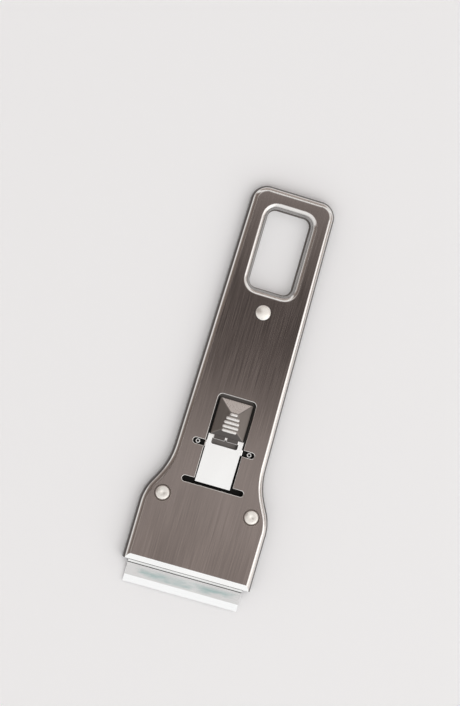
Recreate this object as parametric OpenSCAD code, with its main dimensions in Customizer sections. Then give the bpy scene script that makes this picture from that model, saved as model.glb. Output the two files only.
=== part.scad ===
// Hob scraper with a push button, lying on its back. Millimetres, Z up.
// The blade points to -Y and the hanging hole is at the +Y end.
// Sizes called "from the mouth" are measured along Y from the open front edge of the shell.

/* [Shell] */

// Length of the shell from the mouth to the rounded end
body_l = 143; // [135:1:160]
// Width of the shell over the blade
head_w = 48; // [47:0.5:54]
// Width of the handle just above the shoulders
grip_w = 34.8; // [33:0.2:38]
// Width of the handle at its rounded end
tail_w = 31.2; // [30:0.2:33]
// Height of the shell's face above the table
body_h = 4.8; // [4.6:0.1:6]
// Thickness of the shell's sheet
shell_t = 0.7; // [0.5:0.05:0.9]
// Outer radius of the rolled edge
edge_r = 2.6; // [2.2:0.1:3]
// Radius of the two corners at the rounded end, seen from above
corner_r = 6; // [5:0.5:9]
// Where the sides start to run in, from the mouth
shoulder_u = 25.3; // [24:0.5:28]
// Where the sides become the handle, from the mouth
grip_u = 37.5; // [36:0.5:42]
// Radius of the outer bend of a shoulder, seen from above
shoulder_r = 18; // [10:1:20]
// Radius of the inner bend of a shoulder, seen from above
waist_r = 26; // [15:1:28]
// Length of the sloping lip at the mouth
lip_l = 2; // [1.4:0.1:2.6]
// Height of the lip's lower edge above the table
lip_z = 4; // [3.6:0.1:4.2]

/* [Hanging hole] */

// Width of the opening
hang_w = 16.6; // [12:0.2:18]
// Length of the opening
hang_l = 29.6; // [20:0.2:34]
// Corner radius of the opening
hang_r = 3.3; // [2:0.1:5]
// Centre of the opening, from the shell's rounded end
hang_in = 22.2; // [20:0.2:28]
// Outer radius of the drawn collar around the opening
collar_r = 2.5; // [1.8:0.1:2.8]
// Gap under the collar, over the back plate
collar_gap = 0.3; // [0.2:0.05:0.5]
// How far the back plate shows inside the opening
plate_show = 0.4; // [0.2:0.1:1]

/* [Button window and slots] */

// Width of the window that the button slides in
window_w = 14.2; // [13.8:0.1:16]
// Upper end of the window, from the mouth
window_end = 66.1; // [65.6:0.1:70]
// Corner radius of the window's upper end
window_r = 1.6; // [0.8:0.1:2.5]
// Length of the two cross slots for the catches
slot_l = 23; // [21.5:0.1:24]
// Width of the two cross slots
slot_w = 2; // [1.8:0.1:2.6]
// Centre of the lower cross slot, from the mouth
slot_u = 33.2; // [32:0.1:34]
// Distance between the two cross slots, which is also the slider's travel
travel = 14.2; // [12:0.1:14.6]

/* [Back plate] */

// Thickness of the back plate
plate_t = 0.6; // [0.4:0.05:0.7]
// Gap between the back plate and the shell's walls
plate_gap = 0.15; // [0.1:0.05:0.3]
// How far the back plate stops behind the mouth
plate_back = 0.4; // [0:0.1:2]

/* [Blade] */

// Width of the blade
blade_w = 43; // [40:0.5:44]
// Depth of the blade from its edge to its back
blade_d = 22; // [20:0.5:24]
// Thickness of the blade
blade_t = 0.3; // [0.2:0.05:0.35]
// How far the edge stands out of the mouth in the working position
blade_out = 8.5; // [7:0.5:9]
// Depth of the ground edge
grind_d = 2.6; // [1.5:0.1:3.5]
// Gap between the blade and the back plate
blade_gap = 0.05; // [0.05:0.01:0.1]
// Distance of the two studs from the middle of the blade
stud_x = 12; // [9:0.5:14]
// Diameter of the studs that hold the blade
stud_d = 3; // [2.4:0.1:3.4]
// Thickness left at the very edge
edge_t = 0.03; // [0.02:0.01:0.05]

/* [Blade carrier] */

// Thickness of the carrier
carrier_t = 0.7; // [0.5:0.05:0.8]
// How far the carrier's nose stands out of the mouth
nose_out = 1.5; // [1:0.1:2]
// Depth of the slope on the nose
nose_d = 1.3; // [0.6:0.1:1.8]
// Height of the nose's blunt front
nose_h = 0.1; // [0.1:0.05:0.3]
// Gap between the carrier's wide part and the shell's walls
carrier_gap = 0.5; // [0.3:0.05:0.8]
// Gap between the carrier's neck and the spacers
neck_gap = 0.35; // [0.2:0.05:0.6]
// Gap left at both end stops of the slider
stop_gap = 0.3; // [0.2:0.05:0.5]
// Length of the carrier's tail behind its stops
tail_l = 4; // [3:0.5:5]

/* [Spring tongue] */

// Thickness of the tongue
tongue_t = 0.4; // [0.3:0.05:0.45]
// Width of the tongue
tongue_w = 13.2; // [12.4:0.1:13.4]
// Slope of the tongue towards the blade, in degrees
tongue_tilt = 3.5; // [3:0.1:4]
// Distance from the tongue to the underside of the shell at the catches
tongue_drop = 0.48; // [0.45:0.01:0.6]
// Length of the foot that is riveted to the carrier
foot_l = 4.5; // [4:0.1:5]
// Length of the relief slot in front of the button
relief_l = 9.8; // [8:0.1:10.4]
// Width of the relief slot
relief_w = 2.4; // [1.8:0.1:2.6]
// Depth of the step down to the two ears
ear_drop = 0.55; // [0.4:0.05:0.7]
// Width of the ears along the tongue
ear_w = 2.4; // [2:0.1:2.8]
// Thickness of the ears
ear_t = 0.3; // [0.25:0.05:0.35]
// Distance of each catch from the middle
catch_x = 9.7; // [9.3:0.1:10]
// Diameter of a catch
catch_d = 1.8; // [1.5:0.1:2]
// Width of the rim that a catch rests on the ear with
catch_rim = 0.2; // [0.15:0.05:0.25]
// Gap between the top of a catch and the shell when the button is let go
catch_gap = 0.05; // [0.04:0.01:0.1]

/* [Thumb button] */

// Width of the button's base
button_w = 12.6; // [11.6:0.1:12.8]
// Upper end of the button, short of the window's end
button_gap = 1.1; // [0.8:0.1:1.6]
// Sheet thickness of the button
button_t = 0.45; // [0.35:0.05:0.5]
// Slope of the button's two flanks, in degrees
flank_slope = 32; // [24:1:36]
// Height of the button's upright rim
button_rim = 0.35; // [0.2:0.05:0.5]
// Depth of the steep facet towards the blade
front_d = 1.9; // [1.5:0.1:2.4]
// Depth of the sloping facet towards the hanging hole
back_d = 5.2; // [4.5:0.1:6]
// Width of the crown at its upper end
crown_w = 3.4; // [2.6:0.1:4.4]
// Width of the crown at its lower end
crown_low_w = 6.3; // [5.4:0.1:7]
// Radius of the four ridges
ridge_r = 0.45; // [0.3:0.05:0.55]
// Widths of the four ridges, from the blade end up
ridge_w = [6.1, 5.6, 5, 3.4]; // [2:0.1:6.5]
// Thickness of the hooks that hold the button on the tongue
hook_t = 0.35; // [0.3:0.05:0.4]
// Gap between the hooks and the tongue's underside
hook_gap = 0.05; // [0.05:0.01:0.1]

/* [Rivets and spacers] */

// Distance of the two shoulder rivets from the sides of the head
rivet_in = 7.25; // [7:0.05:7.5]
// Shoulder rivets, from the mouth
rivet_u = 26; // [25.5:0.1:26.5]
// Handle rivet, from the shell's rounded end
grip_rivet_in = 44.8; // [44.4:0.2:53]
// Diameter of the shoulder rivets' heads
head_d = 5; // [4.4:0.1:5.2]
// Diameter of the handle rivet's head
grip_head_d = 5.5; // [4.8:0.1:6]
// Diameter of the rivets' shanks
shank_d = 2.8; // [2.4:0.1:3]
// Depth of the dimples under the shoulder rivets' heads
dimple_d = 0.6; // [0.4:0.05:0.7]
// Outer diameter of the spacers between the two sheets
spacer_d = 5; // [4.6:0.1:5.2]
// Gap around a rivet in its spacer
spacer_gap = 0.1; // [0.05:0.05:0.2]
// Height of the handle rivet's dome
dome_h = 0.75; // [0.5:0.05:1]
// How far a rivet's tail flares out in the back plate
tail_flare = 0.55; // [0.4:0.05:0.6]
// Diameter of the tongue's two small rivets
foot_rivet_d = 1.6; // [1.4:0.1:1.8]
// Height of the small rivets' heads
foot_head_h = 0.45; // [0.3:0.05:0.5]
// Distance of the tongue's two small rivets from the middle
foot_rivet_x = 4; // [3:0.5:5]
// Slack under the small rivets' heads, which lets the tongue tip
foot_slack = 0.2; // [0.18:0.01:0.25]
// Gap around every shank, stud and catch in its hole
hole_gap = 0.02; // [0.02:0.01:0.05]

/* [Hidden] */

$fn = 96;
// The straight runs of a rolled edge sit this much further in than its bends,
// and reach this far into them, so that no two surfaces only graze each other.
run_step = 0.02;
run_lap = 0.1;
// Runs and bends stand this much over the face, and are then cut level with it.
run_over = 0.01;
bend_over = 0.02;
// Width of the flat strip of sheet that a rolled edge ends in
edge_lap = 0.8;
face_over = 0.04;
// How far the lip's sheet reaches into the face behind it
lip_lap = 2;
// Slack around a rivet's head in its dimple, the slope around it, the ring's lap on the face
// and how far the face's hole reaches past the slope
dimple_slack = 0.2;
dimple_rim_r = head_d / 2 + 0.6;
dimple_lap = 0.25;
dimple_cut = 0.1;
// How far a cutter stands past what it cuts
past = 1;
eps = 0.01;

// The overall box is centred on the origin in X and Y.
mouth_y = -(body_l + blade_out) / 2 + blade_out;
rivet_x = head_w / 2 - rivet_in;
grip_rivet_u = body_l - grip_rivet_in;
hang_u = body_l - hang_in;
under_z = body_h - shell_t;

// Heights of the stack inside the shell
blade_z = plate_t + blade_gap;
carrier_z = blade_z + blade_t;
foot_z = carrier_z + carrier_t;
catch_top = under_z - catch_gap;
tongue_top = under_z - tongue_drop;

// The slider in its working position
catch_u = slot_u + travel;
stop_front_u = rivet_u - spacer_d / 2 - stop_gap;
stop_back_u = rivet_u + spacer_d / 2 + stop_gap + travel;
neck_hw = rivet_x - spacer_d / 2 - neck_gap;
wide_hw = head_w / 2 - shell_t - carrier_gap;
tail_hw = neck_hw + 1.6;
relief_u = catch_u + 1.6;
button_u0 = catch_u + 3.7;
button_u1 = window_end - button_gap;

// The tongue: where its foot bends up, where its slope starts and where it runs level again
bend_u = slot_u - 0.3;
rise_u = bend_u + 0.4;
level_u = catch_u + 3.1;
foot_rivet_u = bend_u - 2.3;

function tongue_z(u) = tongue_top + (min(u, level_u) - catch_u) * tan(tongue_tilt);
seat_z = tongue_z(level_u);

// Heights of the ears' top, at the tongue and at their lower ends
root_z = tongue_z(catch_u - ear_w / 2) - 0.03;
ear_z = root_z - ear_drop;

// Corners of the shell's outline, anticlockwise from the right end of the mouth
outline = [
    [head_w / 2, 0],
    [head_w / 2, shoulder_u],
    [grip_w / 2, grip_u],
    [tail_w / 2, body_l],
    [-tail_w / 2, body_l],
    [-grip_w / 2, grip_u],
    [-head_w / 2, shoulder_u],
    [-head_w / 2, 0],
];
outline_r = [0, shoulder_r, waist_r, corner_r, corner_r, waist_r, shoulder_r, 0];
sides = len(outline) - 1;

// Corners of the hanging hole, clockwise, so that the sheet is on the left
hang_box = [
    [-hang_w / 2, hang_u - hang_l / 2],
    [-hang_w / 2, hang_u + hang_l / 2],
    [hang_w / 2, hang_u + hang_l / 2],
    [hang_w / 2, hang_u - hang_l / 2],
];

// Paths of straight runs and round bends

function dir(a, b) = (b - a) / norm(b - a);
function left_of(t) = [-t[1], t[0]];
function turn(s, t) = atan2(s[0] * t[1] - s[1] * t[0], s * t);
function spin(v, a) = [v[0] * cos(a) - v[1] * sin(a), v[0] * sin(a) + v[1] * cos(a)];

// A corner moved sideways by d, to the left of the path
function moved(p, s, t, d) = p + (left_of(s) + left_of(t)) / (1 + s * t) * d;

// Points of the bend with radius r at corner p
function bend_points(p, s, t, r, n) =
    let (a = turn(s, t), side = sign(a))
    let (start = p - s * r * tan(abs(a) / 2))
    let (arm = left_of(s) * side * r)
    [for (i = [0:n]) start + arm - spin(arm, a * i / n)];

// The shell's outline moved in by d, with n flats to a bend
function inset(d, n) = [
    for (i = [0:sides])
        let (p = outline[i], last = i == sides)
        let (s = i == 0 ? [0, 1] : dir(outline[i - 1], p))
        let (t = last ? [0, -1] : dir(p, outline[i + 1]))
        for (q = outline_r[i] == 0
            ? [moved(p, s, t, d)]
            : bend_points(moved(p, s, t, d), s, t, outline_r[i] - sign(turn(s, t)) * d, n))
            q
];

// A straight run from a to b of the profile given, whose X points left
module run(a, b, before, after) {
    t = dir(a, b);
    translate([a[0], a[1], 0])
        rotate([90, 0, atan2(t[1], t[0]) + 90])
            translate([run_step, 0, -before])
                linear_extrude(norm(b - a) + before + after)
                    children();
}

// A round bend of the profile given, at corner p
module bend(p, s, t, r) {
    a = turn(s, t);
    side = sign(a);
    centre = p - s * r * tan(abs(a) / 2) + left_of(s) * side * r;
    first = side > 0 ? atan2(s[1], s[0]) - 90 : atan2(t[1], t[0]) + 90;
    translate([centre[0], centre[1], 0])
        rotate([0, 0, first])
            rotate_extrude(angle = abs(a))
                translate([r, 0])
                    mirror([side > 0 ? 1 : 0, 0])
                        children();
}

// Section of the sheet where it rolls over into a wall that ends at z0
module rolled_edge(r, z0, over) {
    translate([0, z0])
        square([shell_t, body_h + over - r - z0]);
    translate([r, body_h + over - r])
        intersection() {
            difference() {
                circle(r);
                circle(r - shell_t);
            }
            translate([-r, 0])
                square(r);
        }
    translate([r, under_z + over])
        square([edge_lap, shell_t]);
}

// A rectangle with round corners, w by l, about the point given
module rounded(w, l, r) {
    square([w - 2 * r, l], center = true);
    square([w, l - 2 * r], center = true);
    for (x = [-1, 1], y = [-1, 1])
        translate([x * (w / 2 - r), y * (l / 2 - r)])
            circle(r);
}

// A cross slot with round ends
module cross_slot() {
    square([slot_l - slot_w, slot_w], center = true);
    for (x = [-1, 1])
        translate([x * (slot_l - slot_w) / 2, 0])
            circle(d = slot_w);
}

// The window, which is square where it meets the lower cross slot and round at its other end
module window() {
    l = window_end - slot_u;
    translate([0, slot_u])
        intersection() {
            translate([0, l / 2 - window_r])
                rounded(window_w, l + 2 * window_r, window_r);
            translate([-window_w, 0])
                square([2 * window_w, l + past]);
        }
}

// A polygon drawn in Y and Z, made w wide about the middle
module across(w, points) {
    translate([-w / 2, 0, 0])
        rotate([90, 0, 90])
            linear_extrude(w)
                polygon(points);
}

// Turns the working frame, with the mouth at Y = 0, into the part's frame
module placed() {
    translate([0, mouth_y, 0])
        children();
}

// Front shell

// Wall and rolled edge all round, from one end of the mouth to the other
module shell_rim() {
    for (i = [0:sides - 1]) {
        a = outline[i];
        b = outline[i + 1];
        t = dir(a, b);
        ra = i == 0 ? 0 : outline_r[i] * tan(abs(turn(dir(outline[i - 1], a), t)) / 2);
        rb = i == sides - 1 ? 0 : outline_r[i + 1] * tan(abs(turn(t, dir(b, outline[i + 2]))) / 2);
        run(a + t * ra, b - t * rb, i == 0 ? past : run_lap, i == sides - 1 ? past : run_lap)
            rolled_edge(edge_r, 0, run_over);
    }
    for (i = [1:sides - 1])
        bend(outline[i], dir(outline[i - 1], outline[i]), dir(outline[i], outline[i + 1]),
            outline_r[i])
            rolled_edge(edge_r, 0, bend_over);
}

// Collar drawn down into the hanging hole
module hang_collar() {
    for (i = [0:3]) {
        o = hang_box[(i + 3) % 4];
        a = hang_box[i];
        b = hang_box[(i + 1) % 4];
        t = dir(a, b);
        run(a + t * hang_r, b - t * hang_r, run_lap, run_lap)
            rolled_edge(collar_r, plate_t + collar_gap, run_over);
        bend(a, dir(o, a), t, hang_r)
            rolled_edge(collar_r, plate_t + collar_gap, bend_over);
    }
}

// Pressed dimple that takes the head of a shoulder rivet
module dimple() {
    floor_r = head_d / 2 + dimple_slack;
    hole_r = shank_d / 2 + hole_gap;
    rotate_extrude()
        polygon([
            [hole_r, body_h - dimple_d],
            [floor_r, body_h - dimple_d],
            [dimple_rim_r, body_h],
            [dimple_rim_r + dimple_lap, body_h],
            [dimple_rim_r + dimple_lap, under_z],
            [dimple_rim_r - dimple_slack, under_z],
            [floor_r - dimple_slack, under_z - dimple_d],
            [hole_r, under_z - dimple_d],
        ]);
}

// Section of the head filled up to just inside its rolled edges
module head_section() {
    r = edge_r - shell_t / 2;
    square([head_w - 2 * edge_r, 2 * body_h], center = true);
    translate([-head_w / 2 + shell_t / 2, 0])
        square([head_w - shell_t, body_h - edge_r]);
    for (x = [-1, 1])
        translate([x * (head_w / 2 - edge_r), body_h - edge_r])
            circle(r);
}

// Sheet that slopes down across the mouth, left thick on its outside
module lip() {
    fall = atan2(body_h - lip_z, lip_l);
    foot = [shell_t * sin(fall), lip_z - shell_t * cos(fall)];
    top = foot + [cos(fall), sin(fall)] * (under_z - foot[1]) / sin(fall);
    intersection() {
        across(head_w, [
            [foot[0] - sin(fall), foot[1] + cos(fall)],
            foot,
            top,
            [top[0] + lip_lap, under_z],
            [top[0] + lip_lap, body_h + face_over],
            [0, body_h + face_over],
        ]);
        translate([0, top[0] + lip_lap + past, 0])
            rotate([90, 0, 0])
                linear_extrude(top[0] + lip_lap + 2 * past)
                    head_section();
    }
}

// Flat face, which overlaps the flat strips of the rim and the collar
module shell_face() {
    difference() {
        translate([0, 0, under_z])
            linear_extrude(shell_t + face_over)
                polygon([
                    for (q = inset(edge_r + edge_lap / 2, 12)) [q[0], max(q[1], lip_l)]
                ]);
        translate([0, hang_u, 0])
            linear_extrude(body_h + past)
                rounded(hang_w + 2 * collar_r + edge_lap, hang_l + 2 * collar_r + edge_lap,
                    hang_r + collar_r + edge_lap / 2);
    }
}

module front_shell() {
    fall = (body_h - lip_z) / lip_l;
    color([0.58, 0.56, 0.53])
        placed()
            difference() {
                union() {
                    difference() {
                        union() {
                            shell_rim();
                            hang_collar();
                            lip();
                            shell_face();
                        }
                        for (x = [-1, 1])
                            translate([x * rivet_x, rivet_u, 0])
                                cylinder(h = body_h + past, r = dimple_rim_r + dimple_cut);
                        // Level with the face
                        translate([-head_w / 2 - past, -2 * past, body_h])
                            cube([head_w + 2 * past, body_l + 4 * past, past]);
                    }
                    for (x = [-1, 1])
                        translate([x * rivet_x, rivet_u, 0])
                            dimple();
                }
                // The mouth: everything in front of the lip's slope goes
                across(head_w + 2 * past, [
                    [-edge_r - past, -past],
                    [0, -past],
                    [0, lip_z],
                    [(body_h + past - lip_z) / fall, body_h + past],
                    [-edge_r - past, body_h + past],
                ]);
                // The window, with the lower cross slot at its foot
                translate([0, 0, under_z - past]) {
                    linear_extrude(shell_t + 2 * past)
                        window();
                    for (u = [slot_u, catch_u])
                        translate([0, u])
                            linear_extrude(shell_t + 2 * past)
                                cross_slot();
                }
                translate([0, grip_rivet_u, 0])
                    cylinder(h = body_h + past, d = shank_d + 2 * hole_gap);
            }
}

// Back plate

module tail_cone(g) {
    translate([0, 0, -eps])
        cylinder(h = plate_t + eps, r1 = shank_d / 2 + tail_flare + g, r2 = shank_d / 2 + g);
    translate([0, 0, plate_t - eps])
        cylinder(h = 2 * eps, r = shank_d / 2 + g);
}

module back_plate() {
    color([0.6, 0.6, 0.6])
        placed()
            difference() {
                linear_extrude(plate_t)
                    polygon([for (q = inset(shell_t + plate_gap, 16)) [q[0], max(q[1], plate_back)]]);
                translate([0, hang_u, -past])
                    linear_extrude(plate_t + 2 * past)
                        rounded(hang_w - 2 * plate_show, hang_l - 2 * plate_show, hang_r - plate_show);
                for (x = [-1, 1])
                    translate([x * rivet_x, rivet_u, 0])
                        tail_cone(hole_gap);
                translate([0, grip_rivet_u, 0])
                    tail_cone(hole_gap);
            }
}

// Blade carrier and blade

module blade_carrier() {
    step = wide_hw - blade_w / 2;
    step_u = 0.8;
    cut = 1;
    nose_fall = (carrier_t - nose_h) / nose_d;
    right = [
        [blade_w / 2, -nose_out],
        [blade_w / 2, step_u],
        [wide_hw, step_u + step],
        [wide_hw, stop_front_u - cut],
        [wide_hw - cut, stop_front_u],
        [neck_hw + cut, stop_front_u],
        [neck_hw, stop_front_u + cut],
        [neck_hw, stop_back_u],
        [tail_hw, stop_back_u],
        [tail_hw, stop_back_u + tail_l - cut],
        [tail_hw - cut, stop_back_u + tail_l],
    ];
    color([0.62, 0.62, 0.62])
        placed()
            difference() {
                translate([0, 0, carrier_z])
                    linear_extrude(carrier_t)
                        polygon(concat(right, [
                            for (i = [len(right) - 1:-1:0]) [-right[i][0], right[i][1]]
                        ]));
                // Slope on the nose
                across(blade_w + 2 * past, [
                    [-nose_out - past, carrier_z + nose_h - past * nose_fall],
                    [-nose_out, carrier_z + nose_h],
                    [nose_d - nose_out, foot_z],
                    [nose_d - nose_out + past, foot_z + past * nose_fall],
                    [-nose_out - past, foot_z + past],
                ]);
                for (x = [-1, 1]) {
                    translate([x * stud_x, blade_d / 2 - blade_out, 0])
                        stud_shape(hole_gap);
                    translate([x * foot_rivet_x, foot_rivet_u, 0])
                        foot_rivet_shape(hole_gap);
                }
            }
}

module scraper_blade() {
    // The grind is in two facets, and the steeper one takes this share of its depth.
    facet = 0.42;
    color([0.78, 0.8, 0.8])
        placed()
            difference() {
                across(blade_w, [
                    [-blade_out, blade_z],
                    [blade_d - blade_out, blade_z],
                    [blade_d - blade_out, carrier_z],
                    [grind_d - blade_out, carrier_z],
                    [facet * grind_d - blade_out, blade_z + blade_t / 2],
                    [-blade_out, blade_z + edge_t],
                ]);
                for (x = [-1, 1])
                    translate([x * stud_x, blade_d / 2 - blade_out, 0])
                        cylinder(h = carrier_z + past, d = stud_d + 2 * hole_gap);
            }
}

// Stud through carrier and blade, set flush in the carrier's top
module stud_shape(g) {
    head_h = 0.35;
    rim = 0.55;
    translate([0, 0, blade_z])
        cylinder(h = foot_z - blade_z, d = stud_d + 2 * g);
    translate([0, 0, foot_z - head_h])
        cylinder(h = head_h, r1 = stud_d / 2 + g, r2 = stud_d / 2 + rim + g);
    if (g > 0)
        translate([0, 0, foot_z - eps])
            cylinder(h = past, r = stud_d / 2 + rim + g);
}

module blade_stud(x) {
    color([0.7, 0.7, 0.7])
        placed()
            translate([x * stud_x, blade_d / 2 - blade_out, 0])
                stud_shape(0);
}

// Spring tongue

// Small rivet through the tongue's foot, set flush in the carrier's underside
module foot_rivet_shape(g) {
    flare_h = 0.3;
    flare = 0.4;
    r = foot_rivet_d / 2;
    translate([0, 0, carrier_z - (g > 0 ? past : 0)])
        cylinder(h = carrier_t + tongue_t + (g > 0 ? 2 * past : 0), r = r + g);
    translate([0, 0, carrier_z - (g > 0 ? eps : 0)])
        cylinder(h = flare_h, r1 = r + flare + g, r2 = r + g);
}

module tongue_rivet(x) {
    head_z = foot_z + tongue_t + foot_slack;
    color([0.7, 0.7, 0.7])
        placed()
            translate([x * foot_rivet_x, foot_rivet_u, 0]) {
                foot_rivet_shape(0);
                translate([0, 0, carrier_z])
                    cylinder(h = head_z - carrier_z + eps, d = foot_rivet_d);
                translate([0, 0, head_z])
                    cylinder(h = foot_head_h, d = 2 * foot_rivet_d);
            }
}

module spring_tongue() {
    edge_x = tongue_w / 2;
    tip_x = catch_x + 1.5;
    end_u = button_u1 - 0.7;
    bend_half = 0.15;
    heel = 0.25;
    slot_round = 0.7;
    ear_lap = 1;
    color([0.9, 0.9, 0.88])
        placed()
            difference() {
                union() {
                    across(tongue_w, [
                        [bend_u - foot_l, foot_z],
                        [bend_u, foot_z],
                        [rise_u + bend_half, tongue_z(rise_u + bend_half) - tongue_t],
                        [level_u, seat_z - tongue_t],
                        [end_u, seat_z - tongue_t],
                        [end_u, seat_z],
                        [level_u, seat_z],
                        [rise_u - bend_half, tongue_z(rise_u - bend_half)],
                        [bend_u - heel, foot_z + tongue_t],
                        [bend_u - foot_l, foot_z + tongue_t],
                    ]);
                    // Ears that carry the catches under the shell
                    translate([0, catch_u + ear_w / 2, 0])
                        rotate([90, 0, 0])
                            linear_extrude(ear_w)
                                for (s = [0, 1])
                                    mirror([s, 0])
                                        polygon([
                                            [edge_x - ear_lap, root_z - ear_t],
                                            [edge_x + 0.3, root_z - ear_t],
                                            [edge_x + 1.2, ear_z - ear_t],
                                            [tip_x, ear_z - ear_t],
                                            [tip_x, ear_z],
                                            [edge_x + 1.4, ear_z],
                                            [edge_x + 0.5, root_z],
                                            [edge_x - ear_lap, root_z],
                                        ]);
                }
                translate([0, relief_u, 0])
                    linear_extrude(body_h)
                        rounded(relief_l, relief_w, slot_round);
                for (x = [-1, 1]) {
                    translate([x * foot_rivet_x, foot_rivet_u, 0])
                        cylinder(h = body_h, d = foot_rivet_d + 2 * foot_slack);
                    translate([x * catch_x, catch_u, 0])
                        cylinder(h = body_h, d = catch_d - 2 * catch_rim + 2 * hole_gap);
                }
            }
}

// Eyelet pressed into an ear, whose rim drops into a cross slot
module catch(x) {
    bore_r = catch_d / 2 - 0.45;
    neck_r = catch_d / 2 - catch_rim;
    low_z = ear_z - ear_t;
    lip_t = 0.25;
    lip_w = 0.4;
    color([0.85, 0.83, 0.78])
        placed()
            translate([x * catch_x, catch_u, 0])
                rotate_extrude()
                    polygon([
                        [bore_r, low_z - lip_t],
                        [neck_r + lip_w, low_z - lip_t],
                        [neck_r + lip_w, low_z],
                        [neck_r, low_z],
                        [neck_r, ear_z],
                        [neck_r + catch_rim, ear_z],
                        [neck_r + catch_rim, catch_top - 0.15],
                        [neck_r + 0.05, catch_top],
                        [bore_r + 0.1, catch_top],
                        [bore_r, catch_top - 0.1],
                    ]);
}

// Thumb button

// Solid roof shape of the button, or its hollow when t is the sheet's thickness
module roof(t) {
    base = seat_z - (t > 0 ? 1 : 0);
    k = tan(flank_slope);
    top_z = seat_z + button_rim + (button_w - crown_w) / 2 * k - t / cos(flank_slope);
    low_z = seat_z + button_rim + (button_w - crown_low_w) / 2 * k - t / cos(flank_slope);
    eave_z = seat_z + button_rim - t / cos(flank_slope);
    hw = button_w / 2 - t;
    eave_in = eave_z + t * k;
    intersection() {
        across(button_w, [
            [button_u0 + t, base],
            [button_u0 + t, eave_in + 0.1],
            [button_u0 + front_d, low_z],
            [button_u1 - back_d, top_z],
            [button_u1 - t, eave_in],
            [button_u1 - t, base],
        ]);
        translate([0, button_u1, 0])
            rotate([90, 0, 0])
                linear_extrude(button_u1 - button_u0)
                    polygon([
                        [-hw, base],
                        [hw, base],
                        [hw, eave_in],
                        [0, eave_in + hw * k],
                        [-hw, eave_in],
                    ]);
    }
}

module thumb_button() {
    k = tan(flank_slope);
    low_z = seat_z + button_rim + (button_w - crown_low_w) / 2 * k;
    top_z = seat_z + button_rim + (button_w - crown_w) / 2 * k;
    u_low = button_u0 + front_d;
    u_top = button_u1 - back_d;
    under = seat_z - tongue_t - hook_gap;
    // Places of the ridges, as shares of the crown's length, and how deep they sit in it
    first_ridge = 0.12;
    ridge_step = 0.28;
    sunk = 0.1;
    hook_x = 2.45;
    hook_w = 4.3;
    hook_l = 1.35;
    hook_in = 0.3;
    end_w = 8;
    end_l = 1.6;
    end_t = 0.45;
    end_lap = 0.2;
    color([0.8, 0.8, 0.79])
        placed() {
            difference() {
                roof(0);
                roof(button_t);
            }
            // Four ridges across the crown, shorter towards the top
            for (i = [0:len(ridge_w) - 1]) {
                f = first_ridge + i * ridge_step;
                w = ridge_w[i];
                translate([-w / 2, u_low + f * (u_top - u_low), low_z + f * (top_z - low_z) - sunk])
                    rotate([0, 90, 0])
                        cylinder(h = w, r = ridge_r);
            }
            // Two hooks that go down through the relief slot and back under the tongue
            for (x = [-hook_x, hook_x])
                translate([x, 0, 0])
                    across(hook_w, [
                        [button_u0 + hook_in, seat_z],
                        [button_u0 + hook_in, seat_z + hook_t],
                        [button_u0 - hook_l, seat_z + hook_t],
                        [button_u0 - hook_l, under - hook_t],
                        [button_u0 + hook_in, under - hook_t],
                        [button_u0 + hook_in, under],
                        [button_u0 - hook_l + hook_t, under],
                        [button_u0 - hook_l + hook_t, seat_z],
                    ]);
            // Hook around the tongue's upper end
            across(end_w, [
                [button_u1, seat_z + end_lap],
                [button_u1, under - hook_t],
                [button_u1 - end_l, under - hook_t],
                [button_u1 - end_l, under],
                [button_u1 - end_t, under],
                [button_u1 - end_t, seat_z + end_lap],
            ]);
        }
}

// Rivets and spacers

module shank(top) {
    translate([0, 0, eps])
        cylinder(h = plate_t - eps, r1 = shank_d / 2 + tail_flare - hole_gap, r2 = shank_d / 2);
    translate([0, 0, eps])
        cylinder(h = top - eps, d = shank_d);
}

module shoulder_rivet(x) {
    z = body_h - dimple_d;
    head_r = head_d / 2;
    side_h = 0.42;
    slope_w = 0.3;
    slope_h = 0.64;
    top_h = 0.72;
    pit_h = 0.58;
    pit_r = 0.5;
    pit_rim_r = 0.75;
    color([0.82, 0.8, 0.76])
        placed()
            translate([x * rivet_x, rivet_u, 0]) {
                shank(z + eps);
                rotate_extrude()
                    polygon([
                        [0, z],
                        [head_r, z],
                        [head_r, z + side_h],
                        [head_r - slope_w, z + slope_h],
                        [pit_rim_r, z + top_h],
                        [pit_r, z + pit_h],
                        [0, z + pit_h],
                    ]);
            }
}

module handle_rivet() {
    r = (grip_head_d * grip_head_d / 4 + dome_h * dome_h) / (2 * dome_h);
    color([0.88, 0.87, 0.84])
        placed()
            translate([0, grip_rivet_u, 0]) {
                shank(body_h + eps);
                intersection() {
                    translate([0, 0, body_h + dome_h - r])
                        sphere(r);
                    translate([0, 0, body_h])
                        cylinder(h = dome_h + past, d = grip_head_d);
                }
            }
}

module spacer(top) {
    color([0.55, 0.55, 0.55])
        translate([0, 0, plate_t])
            difference() {
                cylinder(h = top - plate_t, d = spacer_d);
                translate([0, 0, -past])
                    cylinder(h = top + 2 * past, d = shank_d + 2 * spacer_gap);
            }
}

module shoulder_spacer(x) {
    placed()
        translate([x * rivet_x, rivet_u, 0])
            spacer(under_z - dimple_d);
}

module handle_spacer() {
    placed()
        translate([0, grip_rivet_u, 0])
            spacer(under_z);
}

front_shell();
back_plate();
blade_carrier();
scraper_blade();
spring_tongue();
thumb_button();
blade_stud(-1);  // blade_stud_left
blade_stud(1);  // blade_stud_right
tongue_rivet(-1);  // tongue_rivet_left
tongue_rivet(1);  // tongue_rivet_right
catch(-1);  // catch_left
catch(1);  // catch_right
handle_rivet();
shoulder_rivet(-1);  // shoulder_rivet_left
shoulder_rivet(1);  // shoulder_rivet_right
handle_spacer();
shoulder_spacer(-1);  // shoulder_spacer_left
shoulder_spacer(1);  // shoulder_spacer_right
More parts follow.
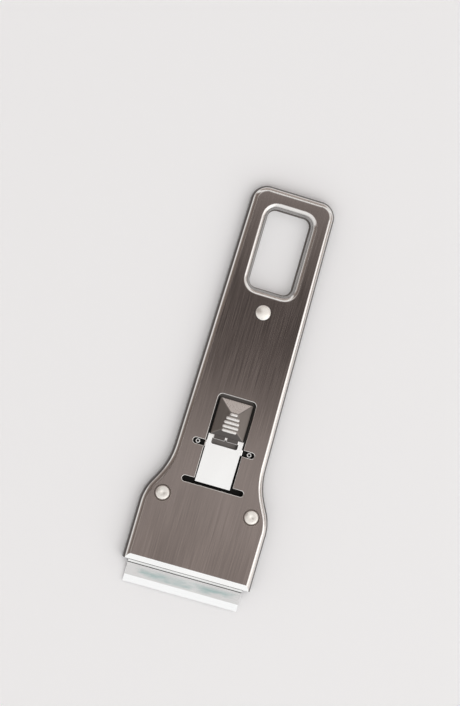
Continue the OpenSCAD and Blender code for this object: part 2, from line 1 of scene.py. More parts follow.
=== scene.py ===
# %% [markdown]
# A hob scraper is almost all sheet steel, so its looks come from three things: how each sheet was brushed or
# polished, how soft its punched edges are, and what the metal mirrors. The frame brings every piece at its
# real size and place, and this file gives each one an edge and a finish.

# %% Load the frame
import math

import bmesh
import bpy
from mathutils import Euler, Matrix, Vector


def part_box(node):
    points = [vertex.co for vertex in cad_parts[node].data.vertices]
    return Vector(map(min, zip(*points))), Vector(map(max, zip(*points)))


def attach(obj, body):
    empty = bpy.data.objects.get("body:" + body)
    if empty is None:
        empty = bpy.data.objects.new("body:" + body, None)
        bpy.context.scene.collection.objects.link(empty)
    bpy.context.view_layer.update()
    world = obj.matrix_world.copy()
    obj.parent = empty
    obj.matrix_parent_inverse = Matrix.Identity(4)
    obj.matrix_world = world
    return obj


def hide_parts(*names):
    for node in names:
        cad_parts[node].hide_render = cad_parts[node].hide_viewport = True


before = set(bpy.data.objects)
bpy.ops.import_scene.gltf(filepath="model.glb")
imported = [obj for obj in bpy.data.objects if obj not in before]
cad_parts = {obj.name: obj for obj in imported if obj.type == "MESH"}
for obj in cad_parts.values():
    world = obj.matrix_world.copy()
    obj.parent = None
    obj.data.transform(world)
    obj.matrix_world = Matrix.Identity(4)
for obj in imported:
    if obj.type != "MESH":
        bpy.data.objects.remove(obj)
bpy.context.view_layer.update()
MM = 0.001
print("nodes:", len(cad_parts))

# %% [markdown]
# The scraper is seen from straight above, a few degrees from its left side, and leans to the right in the
# picture. Distance, turn and lens below put the rivets, slots and corners where the photograph has them.

# %% Camera
CAMERA_HEIGHT = 700 * MM
CAMERA_TURN = Euler((math.radians(-1.32), math.radians(6.33), math.radians(-16.41)))
CAMERA_ASIDE = Vector((-2.79, 15.14, 0)) * MM
CAMERA_LENS = 98.4
CAMERA_SENSOR = 36
NEAREST_SEEN = 10 * MM

seen_from = CAMERA_TURN.to_matrix().transposed()
camera = bpy.data.objects.new("camera", bpy.data.cameras.new("camera"))
camera.data.sensor_fit = "VERTICAL"
camera.data.sensor_height = CAMERA_SENSOR
camera.data.lens = CAMERA_LENS
camera.data.clip_start = NEAREST_SEEN
camera.location = seen_from @ (CAMERA_ASIDE + Vector((0, 0, CAMERA_HEIGHT)))
camera.rotation_euler = seen_from.to_euler()
bpy.context.scene.collection.objects.link(camera)
bpy.context.scene.camera = camera
bpy.context.scene.view_settings.view_transform = "Standard"
print("camera at", [round(v, 3) for v in camera.location])

# %% [markdown]
# A finish is a small network of nodes, and the same few kinds come back in all of them: a noise, a change of
# range, a product, a ramp of colours. They could be wired one by one each time. A helper for each kind is
# shorter, and a finish then reads like a recipe.

# %% Node helpers
def set_inputs(tree, node, inputs):
    """Sets each input to its value, or links it where it is given another node's output."""
    for socket, value in inputs.items():
        if isinstance(value, bpy.types.NodeSocket):
            tree.links.new(value, node.inputs[socket])
        else:
            node.inputs[socket].default_value = value


def add_node(tree, kind, inputs, **settings):
    node = tree.nodes.new(kind)
    for setting, choice in settings.items():
        setattr(node, setting, choice)
    set_inputs(tree, node, inputs)
    return node


def ranged(tree, value, span, onto=(0, 1), **settings):
    """Carries a span of values over onto another, and holds its ends beyond it."""
    node = add_node(tree, "ShaderNodeMapRange", {"Value": value, "From Min": span[0], "From Max": span[1],
                                                 "To Min": onto[0], "To Max": onto[1]}, **settings)
    return node.outputs["Result"]


def calculated(tree, operation, first, *others):
    """Puts two or more values through the operation, one after the other."""
    for other in others:
        first = add_node(tree, "ShaderNodeMath", {0: first, 1: other}, operation=operation).outputs["Value"]
    return first


def mixed(tree, share, first, second, **settings):
    """Goes from the first to the second as the share goes from 0 to 1."""
    mix = add_node(tree, "ShaderNodeMix", {"Factor": share, "A": first, "B": second}, **settings)
    return mix.outputs["Result"]


def noise(tree, place, scale, detail):
    """A noise with a scale of its own along each axis."""
    stretched = add_node(tree, "ShaderNodeMapping", {"Vector": place, "Scale": scale}).outputs["Vector"]
    texture = add_node(tree, "ShaderNodeTexNoise", {"Vector": stretched, "Scale": 1, "Detail": detail})
    return texture.outputs["Fac"]


def colour_ramp(tree, value, stops):
    """A ramp through the colours given by their places from 0 to 1."""
    ramp = add_node(tree, "ShaderNodeValToRGB", {"Fac": value})
    while len(ramp.color_ramp.elements) < len(stops):
        ramp.color_ramp.elements.new(1)
    for number, position in enumerate(stops):
        ramp.color_ramp.elements[number].position = position
    for element, tone in zip(ramp.color_ramp.elements, stops.values()):
        element.color = (*tone, 1)
    return ramp.outputs["Color"]


# %% [markdown]
# Brushed steel is a field of fine scratches that all run one way. They could be modelled, but they are far
# thinner than a pixel, so a noise that is stretched along the grain stands for them. It drives the colour,
# the roughness and a shallow bump together, as real scratches do. A second, broad noise keeps the sheet
# uneven, and edges that hands and the table rub are brighter.

# %% A steel finish
# A noise seldom leaves this span
NOISE_SPAN = (0.25, 0.75)
# How often the clouds change in a metre, along each axis
CLOUDS = (60, 25, 60)
SCRATCH_DEPTH = 0.02 * MM
ROUGHNESS_SPREAD = 0.2
RUBBED_WIDTH = 0.25 * MM
# How much brighter a rubbed edge is, and how little its two normals agree where it is rubbed fully
RUBBED_MORE = 0.25
RUBBED_FULLY = 0.8


def spread(amount, middle=1):
    return middle * (1 - amount), middle * (1 + amount)


def scratched(tree, place, grain, fine, length):
    across = 1 / (fine * MM)
    along = 1 / (length * MM)
    return noise(tree, place, [along if axis == grain else across for axis in "XYZ"], detail=4)


def rubbed_edges(tree):
    """Finds edges as the places where a rounded normal leaves the real one."""
    rounded = add_node(tree, "ShaderNodeBevel", {"Radius": RUBBED_WIDTH}, samples=4)
    surface = tree.nodes.new("ShaderNodeNewGeometry")
    normals = {0: rounded.outputs["Normal"], 1: surface.outputs["Normal"]}
    agree = add_node(tree, "ShaderNodeVectorMath", normals, operation="DOT_PRODUCT")
    return ranged(tree, agree.outputs["Value"], (RUBBED_FULLY, 1), (1 + RUBBED_MORE, 1))


# A colour by lean paints light and shade into a surface.
def colour_by_lean(tree, normal, leaning):
    """A colour that follows how many degrees a face leans from the level."""
    stops = {(1 + math.cos(math.radians(lean))) / 2: tone
             for lean, tone in sorted(leaning.items(), reverse=True)}
    upright = add_node(tree, "ShaderNodeSeparateXYZ", {"Vector": normal}).outputs["Z"]
    return colour_ramp(tree, ranged(tree, upright, (-1, 1)), stops)


def steel(name, colour, roughness, grain="Y", fine=0.16, length=14, streak=0.12, cloud=0.08, bump=0.05,
          leaning=None):
    """A steel with its grain along one axis. fine and length are the width and length of a scratch in mm.
    streak and cloud are how much scratches and clouds change the brightness. leaning gives the colour by
    how many degrees a face leans from the level, where it isn't the same all over."""
    material = bpy.data.materials.new(name)
    material.use_nodes = True
    tree = material.node_tree
    place = tree.nodes.new("ShaderNodeTexCoord")
    scratches = scratched(tree, place.outputs["Object"], grain, fine, length)
    clouds = noise(tree, place.outputs["Object"], CLOUDS, detail=3)
    shade = calculated(tree, "MULTIPLY", ranged(tree, scratches, NOISE_SPAN, spread(streak)),
                       ranged(tree, clouds, NOISE_SPAN, spread(cloud)), rubbed_edges(tree))
    tone = colour_by_lean(tree, place.outputs["Normal"], leaning) if leaning else colour
    tinted = add_node(tree, "ShaderNodeVectorMath", {0: tone, "Scale": shade}, operation="SCALE")
    relief = add_node(tree, "ShaderNodeBump",
                      {"Strength": bump, "Distance": SCRATCH_DEPTH, "Height": scratches})
    set_inputs(tree, tree.nodes["Principled BSDF"], {
        "Metallic": 1,
        "Base Color": tinted.outputs["Vector"],
        "Roughness": ranged(tree, scratches, NOISE_SPAN, spread(ROUGHNESS_SPREAD, roughness)),
        "Normal": relief.outputs["Normal"],
    })
    return material


# %% [markdown]
# The shell is one brushed sheet. Its rolled edge could be a second material, but then a hard line would run
# where the sheet only bends. Here the colour follows how far a face leans, and paints in its light and shade:
# warm grey on the level face, a painted highlight over the bend, painted shade on the steep wall below. The
# sheets and small pieces inside get plainer steels, and what lies deep in a slot or a groove gets painted
# shade.

# %% The scraper's steels
# The darkest tone, the inside tone, the tone over the bend and the wall tone are painted shade and painted
# highlight, not tones of the steel.
DEEP_SHADE = (0.02, 0.02, 0.019)
INSIDE_SHADE = (0.2, 0.185, 0.175)
FACE = (0.25, 0.212, 0.196)
BEND_HIGHLIGHT = (0.77, 0.75, 0.73)
WALL = (0.1, 0.09, 0.085)
PLATE = (0.42, 0.41, 0.4)
POLISHED = (0.93, 0.93, 0.92)

# The shell's lean gives a painted highlight over the bend and painted shade on the wall and under it.
shell_steel = steel("shell_brushed_steel", FACE, 0.15, fine=0.22, length=18, streak=0.21, cloud=0.1,
                    leaning={6: FACE, 13: BEND_HIGHLIGHT, 45: BEND_HIGHLIGHT, 51: WALL, 90: WALL, 100: DEEP_SHADE})
# The collar's lean gives a painted highlight over its bend.
collar_steel = steel("collar_steel", BEND_HIGHLIGHT, 0.2, streak=0.08,
                     leaning={6: FACE, 14: BEND_HIGHLIGHT, 32: BEND_HIGHLIGHT, 45: PLATE, 100: PLATE})
# The lip is painted almost white: a painted highlight on the same sheet as the face.
lip_steel = steel("lip_steel", POLISHED, 0.3, grain="X", streak=0.03, cloud=0.02)
dimple_steel = steel("dimple_steel", (0.42, 0.38, 0.36), 0.4, streak=0.1)
# The back plate's upward, inner face gets a darker tone: painted shade inside the shell.
plate_steel = steel("plate_brushed_steel", PLATE, 0.36, leaning={50: INSIDE_SHADE, 70: PLATE})
carrier_steel = steel("carrier_bright_steel", (0.8, 0.8, 0.79), 0.24, grain="X", streak=0.06)
# This near-black steel is painted shade for sheets that run inside the shell.
shaded_steel = steel("painted_shade_steel", DEEP_SHADE, 0.45, streak=0.1)
# The groove and front steels are darker copies of the button's steel: painted shade on the cap.
groove_shade_steel = steel("groove_shade_steel", (0.22, 0.2, 0.185), 0.35, streak=0.1)
front_shade_steel = steel("button_front_steel", (0.12, 0.11, 0.105), 0.4, streak=0.1)
spring_steel = steel("polished_spring_steel", POLISHED, 0.16, streak=0.03, cloud=0.03, bump=0.02)
button_steel = steel("tumbled_button_steel", (0.84, 0.82, 0.8), 0.3, fine=0.3, length=0.6, streak=0.03,
                     cloud=0.03, bump=0.01)
rivet_steel = steel("headed_rivet_steel", (0.86, 0.83, 0.78), 0.42, fine=0.3, length=0.5, streak=0.08)
spacer_steel = steel("turned_spacer_steel", (0.42, 0.42, 0.42), 0.35, grain="X", fine=0.1, length=3)
blade_steel = steel("oiled_blade_steel", (0.77, 0.775, 0.775), 0.22, grain="X", fine=0.1, length=9,
                    streak=0.05)
print("steels:", len([m for m in bpy.data.materials if "steel" in m.name]))

# %% [markdown]
# The blade is ground steel. The photograph shows faint blue-green patches in the middle of the part that
# sticks out, which are taken for a film of oil. That colour is mixed in where a broad noise is high, and it
# fades towards the carrier and the edge. The slope that is ground down to the edge is bare and brighter.

# %% The blade's oil film and ground slope
BLADE_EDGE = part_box("scraper_blade")[0].y
GRIND_END = BLADE_EDGE + 2.6 * MM
GRIND_BLEND = 0.05 * MM
SLOPE = (0.94, 0.945, 0.945, 1)
FILM = (0.36, 0.52, 0.51, 1)
FILM_FROM = BLADE_EDGE + 2.8 * MM
FILM_TO = BLADE_EDGE + 6.4 * MM
FILM_MOST = 0.75
PATCH = 4 * MM
PATCH_STRETCH = 0.3
PATCH_SPAN = (0.43, 0.6)
NONE, FULL = (0, 0, 0), (1, 1, 1)


def add_film_and_slope(material):
    """Lays the film and then the slope over the colour that the material already has."""
    tree = material.node_tree
    shader = tree.nodes["Principled BSDF"]
    bare = shader.inputs["Base Color"].links[0].from_socket
    place = tree.nodes.new("ShaderNodeTexCoord").outputs["Object"]
    y = add_node(tree, "ShaderNodeSeparateXYZ", {"Vector": place}).outputs["Y"]
    patches = noise(tree, place, (PATCH_STRETCH / PATCH, 1 / PATCH, 1 / PATCH), detail=3)
    fade = colour_ramp(tree, ranged(tree, y, (FILM_FROM, FILM_TO)), {0: NONE, 0.3: FULL, 0.6: FULL, 1: NONE})
    amount = calculated(tree, "MULTIPLY", ranged(tree, patches, PATCH_SPAN, (0, FILM_MOST)), fade)
    oiled = mixed(tree, amount, bare, FILM, data_type="RGBA")
    on_slope = ranged(tree, y, (GRIND_END - GRIND_BLEND, GRIND_END + GRIND_BLEND), (1, 0))
    set_inputs(tree, shader, {"Base Color": mixed(tree, on_slope, oiled, SLOPE, data_type="RGBA")})


add_film_and_slope(blade_steel)
print("film over", round((FILM_TO - FILM_FROM) / MM, 1), "mm of the blade")

# %% [markdown]
# No punched edge is knife sharp: the tool rolls one side over and leaves a thin bright line of light. The CAD
# pieces end in true corners, so a copy of each is merged and its corners are bevelled. The copy then stands
# for the CAD piece. Only corners that stand out are taken, so the bevel removes metal and adds none.

# %% Soften the edges of a piece
MERGE = 0.0005 * MM
FLAT = math.radians(0.4)
SHARP = math.radians(35)


def merged_copy(node):
    mesh = bmesh.new()
    mesh.from_mesh(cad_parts[node].data)
    bmesh.ops.remove_doubles(mesh, verts=mesh.verts, dist=MERGE)
    bmesh.ops.dissolve_limit(mesh, angle_limit=FLAT, verts=mesh.verts, edges=mesh.edges,
                             use_dissolve_boundaries=False, delimit={"NORMAL"})
    return mesh


def is_corner(edge):
    whole = len(edge.link_faces) == 2 and edge.calc_length() > 0
    return whole and edge.is_convex and edge.calc_face_angle(0) > SHARP


def bevel(mesh, edges, width, segments, clamp=True, material=-1):
    bmesh.ops.bevel(mesh, geom=edges, offset=width, offset_type="OFFSET", affect="EDGES", segments=segments,
                    profile=0.5, material=material, clamp_overlap=clamp)


def soften(mesh, width, segments=2, where=None, clamp=True):
    """Bevels the corners by a width in mm, or only those for which where says so."""
    edges = [edge for edge in mesh.edges if is_corner(edge) and (where is None or where(edge))]
    bevel(mesh, edges, width * MM, segments, clamp)
    return len(edges)


# %% [markdown]
# A finished mesh becomes an object that stands for its CAD node and rides on its body. Faces are shaded
# smooth, edges that turn by more than the crease stay sharp, and weighted normals keep flat faces flat.

# %% Finish a piece
def finish_piece(mesh, name, node, body, material, crease=40):
    bmesh.ops.dissolve_degenerate(mesh, dist=MERGE, edges=mesh.edges)
    for face in mesh.faces:
        face.smooth = True
    for edge in mesh.edges:
        edge.smooth = len(edge.link_faces) == 2 and edge.calc_face_angle(0) < math.radians(crease)
    data = bpy.data.meshes.new(name)
    mesh.to_mesh(data)
    mesh.free()
    data.materials.append(material)
    piece = bpy.data.objects.new(name, data)
    bpy.context.scene.collection.objects.link(piece)
    evened = piece.modifiers.new("even shading", "WEIGHTED_NORMAL")
    evened.keep_sharp = True
    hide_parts(node)
    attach(piece, body)
    print(name, len(data.polygons), "faces")
    return piece


# %% [markdown]
# Small pieces first: each loses its corners by the width that tumbling or upsetting leaves on such a part.

# %% Small pieces
small_pieces = [
    ("catch_left", "tongue", spring_steel, "spring_steel", 0.05),
    ("catch_right", "tongue", spring_steel, "spring_steel", 0.05),
    ("handle_rivet", "shell", rivet_steel, "rivet_steel", 0.12),
    ("shoulder_rivet_left", "shell", rivet_steel, "rivet_steel", 0.1),
    ("shoulder_rivet_right", "shell", rivet_steel, "rivet_steel", 0.1),
    ("tongue_rivet_left", "slider", rivet_steel, "rivet_steel", 0.08),
    ("tongue_rivet_right", "slider", rivet_steel, "rivet_steel", 0.08),
]
for node, body, material, slot, width in small_pieces:
    mesh = merged_copy(node)
    soften(mesh, width)
    finish_piece(mesh, node + "_piece", node, body, material)

# %% [markdown]
# The slots are to be black, so two sheets get painted shade where they run inside the shell: the
# carrier behind its nose, and the tongue's foot, its two ears and its edges beside the button. It is the
# shade inside the shell, painted on. Old oil would do that on a real one, which is a guess. It could be a
# mask in the material, but a line across the sheet is all it needs, so the faces are cut there and those
# beyond the line get a second material.

# %% Cut across and darken
CUT_MERGE = 0.002 * MM


def cut_across(mesh, *lines):
    """Cuts the faces along straight lines across the piece, which leaves its shape as it is."""
    for line in lines:
        cut = mesh.verts[:] + mesh.edges[:] + mesh.faces[:]
        bmesh.ops.bisect_plane(mesh, geom=cut, dist=CUT_MERGE, plane_co=(0, line, 0), plane_no=(0, 1, 0))


# The dark steel given here is painted shade.
def darken(piece, hidden):
    """Gives the dark steel to the faces whose middle is hidden."""
    piece.data.materials.append(shaded_steel)
    darkened = 0
    for face in piece.data.polygons:
        if hidden(face.center):
            face.material_index = 1
            darkened += 1
    print(piece.name, darkened, "faces in the dark")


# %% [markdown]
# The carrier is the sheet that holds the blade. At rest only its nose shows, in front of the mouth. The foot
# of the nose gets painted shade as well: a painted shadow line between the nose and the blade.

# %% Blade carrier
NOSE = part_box("blade_carrier")[0].y
NOSE_FOOT = NOSE + 0.3 * MM
NOSE_END = NOSE + 1.1 * MM

mesh = merged_copy("blade_carrier")
soften(mesh, 0.08)
cut_across(mesh, NOSE_FOOT, NOSE_END)
carrier = finish_piece(mesh, "blade_carrier_piece", "blade_carrier", "slider", carrier_steel)
# All of the carrier but the nose's bright band gets painted shade.
darken(carrier, lambda middle: not NOSE_FOOT < middle.y < NOSE_END)

# %% [markdown]
# The tongue is a bright strip of spring steel under the window. It is the brightest thing inside it.

# %% Spring tongue
MOUTH_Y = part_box("front_shell")[0].y
EAR_FROM = 7 * MM
FOOT_END = MOUTH_Y + 33.3 * MM
BESIDE_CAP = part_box("thumb_button")[0].y + 1.45 * MM

mesh = merged_copy("spring_tongue")
soften(mesh, 0.06)
cut_across(mesh, BESIDE_CAP)
tongue = finish_piece(mesh, "spring_tongue_piece", "spring_tongue", "tongue", spring_steel)
# The ears, the foot and the edges beside the button get painted shade.
darken(tongue, lambda middle: abs(middle.x) > EAR_FROM or not FOOT_END < middle.y < BESIDE_CAP)

# %% [markdown]
# The thumb button is one pressed cap, seen as a hipped roof: two flanks, a long facet up from the back, a
# crown that falls towards the blade, and a steep front. A cube has the right eight corners, so they are moved
# to the roof's, its edges are rounded as a press would leave them, and the open shell gets its wall last.

# %% Thumb button cap
button_low, button_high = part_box("thumb_button")
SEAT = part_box("spring_tongue")[1].z
RIM = 0.35 * MM
FLANK = math.tan(math.radians(32))
CAP_FRONT = button_low.y + 1.35 * MM
CAP_BACK = button_high.y
CAP_HALF = button_high.x
CAP_WALL = 0.4 * MM
CAP_ROUNDING = 0.3 * MM
CROWN = {CAP_FRONT + 2.5 * MM: 3.05 * MM, CAP_BACK - 4.6 * MM: 1.6 * MM}
crown_front, crown_back = CROWN


def crown_height(y):
    """Height of the crown at y, on the line between its two ends."""
    front_height, back_height = (SEAT + RIM + (CAP_HALF - half) * FLANK for half in CROWN.values())
    share = (y - crown_front) / (crown_back - crown_front)
    return front_height + share * (back_height - front_height)


cap = bmesh.new()
bmesh.ops.create_cube(cap, size=2)
for vert in cap.verts:
    side = math.copysign(1, vert.co.x)
    back = vert.co.y > 0
    if vert.co.z > 0:
        y = crown_back if back else crown_front
        vert.co = (side * CROWN[y], y, crown_height(y))
    else:
        vert.co = (side * CAP_HALF, CAP_BACK if back else CAP_FRONT, SEAT + RIM)
print("crown ends:", [round(crown_height(y) / MM, 2) for y in CROWN], "mm")

# %% [markdown]
# Below the roof the cap has a short upright rim. Its lower face is drawn down for that, and then taken out,
# because the real cap is open below.

# %% Rim and wall of the cap
def facing_down(mesh):
    return [face for face in mesh.faces if face.normal.z < -0.9]


bottom = facing_down(cap)
walls = bmesh.ops.extrude_face_region(cap, geom=bottom)
bmesh.ops.delete(cap, geom=bottom, context="FACES")
lowered = [part for part in walls["geom"] if isinstance(part, bmesh.types.BMVert)]
bmesh.ops.translate(cap, verts=lowered, vec=(0, 0, -RIM))
bmesh.ops.recalc_face_normals(cap, faces=cap.faces)
upper = [edge for edge in cap.edges if max(vert.co.z for vert in edge.verts) > SEAT + RIM / 2]
bevel(cap, upper, CAP_ROUNDING, 4)
bmesh.ops.delete(cap, geom=facing_down(cap), context="FACES")
bmesh.ops.solidify(cap, geom=cap.faces[:], thickness=CAP_WALL)
print("cap faces:", len(cap.faces))

# %% [markdown]
# The cap keeps its bright steel on its long back facet and on the ridges. The rest of it gets a darker copy
# of that steel and the steep front the darkest: painted shade, picked by how its faces lean.

# %% Finishes of the cap
# The groove and front finishes are painted shade.
BRIGHT, GROOVE, FRONT = range(3)
FACET_LEAN = 0.3
BACK_FACET_AREA = 4 * MM * MM
for face in cap.faces:
    if face.normal.y > FACET_LEAN and face.calc_area() > BACK_FACET_AREA:
        face.material_index = BRIGHT
    else:
        face.material_index = FRONT if face.normal.y < -FACET_LEAN else GROOVE
print("dark faces of the cap:", sum(face.material_index != BRIGHT for face in cap.faces))

# %% [markdown]
# A ridge is a rounded bar across the crown that stands out by about half. A sphere pulled apart along X is
# such a bar with round ends. The photograph shows five, and from the second one up they get narrower, as the
# crown does. Each is given by its distance from the crown's front and its width.

# %% Ridges
RIDGES = {0.1: 5.6, 1.6: 6.1, 3.15: 5.8, 4.7: 5.1, 6.25: 2.9}
RIDGE_R = 0.6 * MM
RIDGE_OUT = 0.05 * MM
AT_CENTRE = 1e-9


def add_ridge(mesh, y, width):
    made = bmesh.ops.create_uvsphere(mesh, u_segments=24, v_segments=16, radius=RIDGE_R)["verts"]
    for vert in made:
        if abs(vert.co.x) > AT_CENTRE:
            vert.co.x += math.copysign(width / 2 - RIDGE_R, vert.co.x)
    height = min(crown_height(y) + RIDGE_OUT, button_high.z - RIDGE_R)
    bmesh.ops.translate(mesh, verts=made, vec=(0, y, height))


for distance, width in RIDGES.items():
    add_ridge(cap, crown_front + distance * MM, width * MM)
print("ridges:", len(RIDGES))

# %% [markdown]
# The cap holds on to the tongue by three hooks, bent from its own sheet: two at the front go down through the
# tongue's slot and back under it, and one goes round the tongue's end. Each is made of short rounded bars,
# and each bar is a little smaller than the one before, so that no two share a face.

# %% Hooks
HOOK = 0.35 * MM
HOOK_FROM, HOOK_TO = 0.3 * MM, 4.6 * MM
HOOK_FRONT, HOOK_BACK = button_low.y, CAP_FRONT + 0.3 * MM
HOOK_ROUNDING = 0.08 * MM
STRAP_ROUNDING = 0.12 * MM
END_HALF, END_LENGTH, END_WALL, END_LAP = 4 * MM, 1.6 * MM, 0.45 * MM, 0.2 * MM
UNDER = button_low.z
STEP = 0.03 * MM


def add_bar(mesh, low, high, rounding=HOOK_ROUNDING, finish=BRIGHT):
    """A box from one corner to the other with rounded edges, joined to the mesh. Its top gets the finish."""
    made = bmesh.ops.create_cube(mesh, size=1)["verts"]
    bmesh.ops.scale(mesh, verts=made, vec=[h - l for l, h in zip(low, high)])
    bmesh.ops.translate(mesh, verts=made, vec=[(h + l) / 2 for l, h in zip(low, high)])
    for face in {f for v in made for f in v.link_faces}:
        face.material_index = finish if face.normal.z > 0.9 else BRIGHT
    bevel(mesh, list({e for v in made for e in v.link_edges}), rounding, 2, material=BRIGHT)


for side in (-1, 1):
    left, right = sorted((side * HOOK_FROM, side * HOOK_TO))
    # The strap's top gets the front's painted shade.
    add_bar(cap, (left, HOOK_FRONT, SEAT), (right, HOOK_BACK, SEAT + HOOK), STRAP_ROUNDING, FRONT)
    left, right = left + STEP, right - STEP
    add_bar(cap, (left, HOOK_FRONT + STEP, UNDER), (right, HOOK_FRONT + HOOK, SEAT + HOOK / 2))
    left, right = left + STEP, right - STEP
    add_bar(cap, (left, HOOK_FRONT + 2 * STEP, UNDER + STEP), (right, HOOK_BACK - STEP, UNDER + HOOK))
add_bar(cap, (-END_HALF, CAP_BACK - END_WALL, UNDER), (END_HALF, CAP_BACK - STEP, SEAT + END_LAP))
narrower = END_HALF - STEP
add_bar(cap, (-narrower, CAP_BACK - END_LENGTH, UNDER + STEP), (narrower, CAP_BACK - 2 * STEP, UNDER + HOOK))
button = finish_piece(cap, "thumb_button_piece", "thumb_button", "tongue", button_steel)
for other in (groove_shade_steel, front_shade_steel):
    button.data.materials.append(other)

# %% [markdown]
# The shell is pressed from above, so only the top corners of its window and slots are rolled over. They are
# picked by height and place, and rounded wider than the small pieces. The bends of its rolled edge turn by
# up to 16 degrees from face to face, and the crease of the lip by 22, so the crease is set between them.

# %% Front shell
SHELL_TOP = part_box("front_shell")[1].z
PUNCHED_FROM = MOUTH_Y + 31 * MM
PUNCHED_TO = MOUTH_Y + 68 * MM
PUNCHED_HALF = 12 * MM
LEVEL = 0.02 * MM


def on_the_face(edge):
    middle = (edge.verts[0].co + edge.verts[1].co) / 2
    level = all(abs(vert.co.z - SHELL_TOP) < LEVEL for vert in edge.verts)
    return level and PUNCHED_FROM < middle.y < PUNCHED_TO and abs(middle.x) < PUNCHED_HALF


mesh = merged_copy("front_shell")
print("shell corners:", soften(mesh, 0.32, 5, where=on_the_face, clamp=False))
shell = finish_piece(mesh, "front_shell_piece", "front_shell", "shell", shell_steel, crease=20)

# %% [markdown]
# Three places of the shell get steels of their own: the dimples that the shoulder rivets sit in, with one
# even tone a little lighter than the face and none of the lean's painted shade; the lip that slopes down to
# the mouth, painted almost white as a painted highlight; and the collar that is drawn down round the hanging
# hole, with a painted highlight over its bend. They are picked by place, and a small area tells a bend from
# the broad face around it.

# %% Dimples, lip and collar
DIMPLE_R = 3.4 * MM
DIMPLE_AREA = 2 * MM * MM
LIP_END = MOUTH_Y + 2.1 * MM
COLLAR_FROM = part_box("handle_rivet")[1].y
COLLAR_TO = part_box("front_shell")[1].y - 4.2 * MM
COLLAR_HALF = 11.5 * MM
COLLAR_AREA = 40 * MM * MM
shoulder_rivets = [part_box(node) for node in ("shoulder_rivet_left", "shoulder_rivet_right")]


def in_a_dimple(face):
    near = [math.hypot(face.center.x - (low.x + high.x) / 2, face.center.y - (low.y + high.y) / 2) < DIMPLE_R
            for low, high in shoulder_rivets]
    return any(near) and face.area < DIMPLE_AREA


def on_the_lip(face):
    """Leans towards the blade but still looks up."""
    return face.center.y < LIP_END and face.normal.y < -0.2 and face.normal.z > 0.5


def on_the_collar(face):
    beside = COLLAR_FROM < face.center.y < COLLAR_TO and abs(face.center.x) < COLLAR_HALF
    return beside and face.area < COLLAR_AREA


own_finishes = {in_a_dimple: dimple_steel, on_the_lip: lip_steel, on_the_collar: collar_steel}
for other in own_finishes.values():
    shell.data.materials.append(other)
for face in shell.data.polygons:
    face.material_index = next((n for n, is_there in enumerate(own_finishes, 1) if is_there(face)), 0)
print("faces by finish:", [sum(f.material_index == n for f in shell.data.polygons) for n in range(4)])

# %% [markdown]
# What is right as it comes keeps its CAD mesh and only gets its finish.

# %% Pieces that keep their mesh
kept = {
    "back_plate": plate_steel,
    "scraper_blade": blade_steel,
    "blade_stud_left": rivet_steel,
    "blade_stud_right": rivet_steel,
    "handle_spacer": spacer_steel,
    "shoulder_spacer_left": spacer_steel,
    "shoulder_spacer_right": spacer_steel,
}
for node, material in kept.items():
    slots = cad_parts[node].material_slots
    for used in slots:
        used.material = material
    if not slots:
        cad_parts[node].data.materials.append(material)
print("kept as they came:", len(kept))

# %% [markdown]
# The scraper lies on a plain pale floor, wide enough that its end is never seen.

# %% Floor
FLOOR_HALF = 4
FLOOR_COLOUR = (0.975, 0.978, 0.985, 1)
FLOOR_ROUGHNESS = 0.8

floor_mesh = bmesh.new()
bmesh.ops.create_grid(floor_mesh, x_segments=1, y_segments=1, size=FLOOR_HALF)
floor_data = bpy.data.meshes.new("floor")
floor_mesh.to_mesh(floor_data)
floor_mesh.free()
floor = bpy.data.objects.new("floor", floor_data)
bpy.context.scene.collection.objects.link(floor)
floor_paint = bpy.data.materials.new("pale_floor")
floor_paint.use_nodes = True
set_inputs(floor_paint.node_tree, floor_paint.node_tree.nodes["Principled BSDF"],
           {"Base Color": FLOOR_COLOUR, "Roughness": FLOOR_ROUGHNESS})
floor_data.materials.append(floor_paint)
print("floor:", 2 * FLOOR_HALF, "m wide")

# %% [markdown]
# Metal has no look of its own, it shows its room. The room is painted on the world by the direction looked
# in, with soft steps and bands. Lamps could stand for its bright parts, but a lamp adds to the world behind
# it, and metal that mirrors both burns out to white.

# %% Steps and bands of a room
world = bpy.data.worlds.new("room")
bpy.context.scene.world = world
world.use_nodes = True
room = world.node_tree
facing = room.nodes.new("ShaderNodeTexCoord").outputs["Generated"]
direction = add_node(room, "ShaderNodeSeparateXYZ", {"Vector": facing}).outputs


def soft_step(axis, start, full, onto=(0, 1)):
    """Changes from the first value to the second between start and full on that axis."""
    return ranged(room, direction[axis], (start, full), onto, interpolation_type="SMOOTHSTEP")


def band(axis, start, full, fades, ends, level=1):
    """The level between full and fades on that axis, and nothing outside start and ends."""
    return calculated(room, "MULTIPLY", soft_step(axis, start, full, (0, level)),
                      soft_step(axis, fades, ends, (1, 0)))


# %% [markdown]
# The flat face mirrors the ceiling. It is dimmer over the handle and brighter again at its end, and that is
# where the shading along the face comes from. CEILING gives its brightness by the Y of the direction, from
# the blade's side to the handle's.

# %% Ceiling
CEILING = {-0.15: 1, -0.1: 0.74, -0.07: 0.74, -0.03: 1.45, 0.0: 0.55, 0.02: 0.03, 0.08: 0.03, 0.11: 1, 0.5: 1,
           0.62: 0.3}
CEILING_WIDTH = (-0.4, -0.15, 0.3, 0.4)
DIM = 0.18
nearest, farthest = min(CEILING), max(CEILING)
glows = {(y - nearest) / (farthest - nearest): (glow, glow, glow) for y, glow in CEILING.items()}
ceiling = colour_ramp(room, ranged(room, direction["Y"], (nearest, farthest)), glows)
over = mixed(room, band("X", *CEILING_WIDTH), DIM, ceiling)
print("ceiling stops:", len(CEILING))

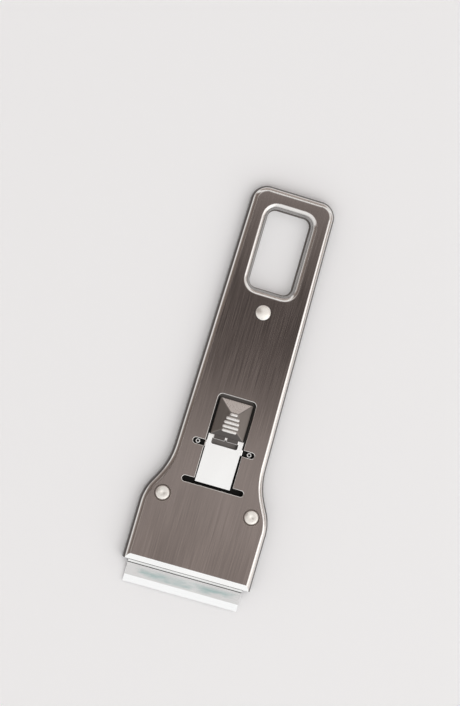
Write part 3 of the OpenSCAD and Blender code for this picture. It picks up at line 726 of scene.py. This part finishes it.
# %% [markdown]
# The room on the blade's side is bright, and that is what the gently sloping tongue, ridges and lip mirror. A
# bright box on the right, a narrow strip on the left and another at the far end give the rolled edges their
# lines of light. All of it is soft, and near the horizon the room is as pale as the floor. Where the room is
# dim it is also a little warm.

# %% Walls, strips and the world
# For each wall the axis, where it starts and is full on that axis, and how bright it is
WALLS = {
    "blade end": ("Y", -0.17, -0.26, 0.96),
    "right wall": ("X", 0.8, 0.86, 0.45),
    "left wall": ("X", -0.7, -0.8, 0.34),
    "far wall": ("Y", 0.7, 0.85, 0.45),
    "near the horizon": ("Z", 0.22, 0.12, 0.85),
}
# For each band the axis, where it starts, is full, fades and ends, and how bright it is if not 1
RIGHT_BOX = ("X", 0.33, 0.43, 0.83, 0.88, 0.85)
FAR_STRIP = ("Y", 0.45, 0.55, 0.7, 0.8)
LEFT_STRIP = ("X", -1, -0.985, -0.93, -0.9)
LEFT_STRIP_FOOT = (0.02, 0.06)
WARM = (1, 0.76, 0.65, 1)
WHITE = (1, 1, 1, 1)

walls = [soft_step(axis, start, full, (0, level)) for axis, start, full, level in WALLS.values()]
left_strip = calculated(room, "MULTIPLY", band(*LEFT_STRIP), soft_step("Z", *LEFT_STRIP_FOOT))
brightest = calculated(room, "MAXIMUM", over, *walls, band(*RIGHT_BOX), band(*FAR_STRIP), left_strip)
set_inputs(room, room.nodes["Background"], {
    "Strength": brightest,
    "Color": mixed(room, brightest, WARM, WHITE, data_type="RGBA"),
})
print("walls:", ", ".join(WALLS))

# %% [markdown]
# One lamp gives the floor a soft shadow. It stands well to the right, where the level face and the gently
# sloping tongue, ridges and lip don't mirror it.

# %% Lamp
LAMP_AT = Vector((1.2, -0.5, 0.9))
LAMP_SIZE = 1.5
LAMP_WATTS = 4.2

light = bpy.data.lights.new("key", "AREA")
light.shape = "RECTANGLE"
light.size = light.size_y = LAMP_SIZE
light.energy = LAMP_WATTS
lamp = bpy.data.objects.new("key", light)
lamp.location = LAMP_AT
lamp.rotation_euler = (-LAMP_AT).to_track_quat("-Z", "Y").to_euler()
bpy.context.scene.collection.objects.link(lamp)
print("lamp:", LAMP_WATTS, "W,", round(LAMP_AT.length, 2), "m away")
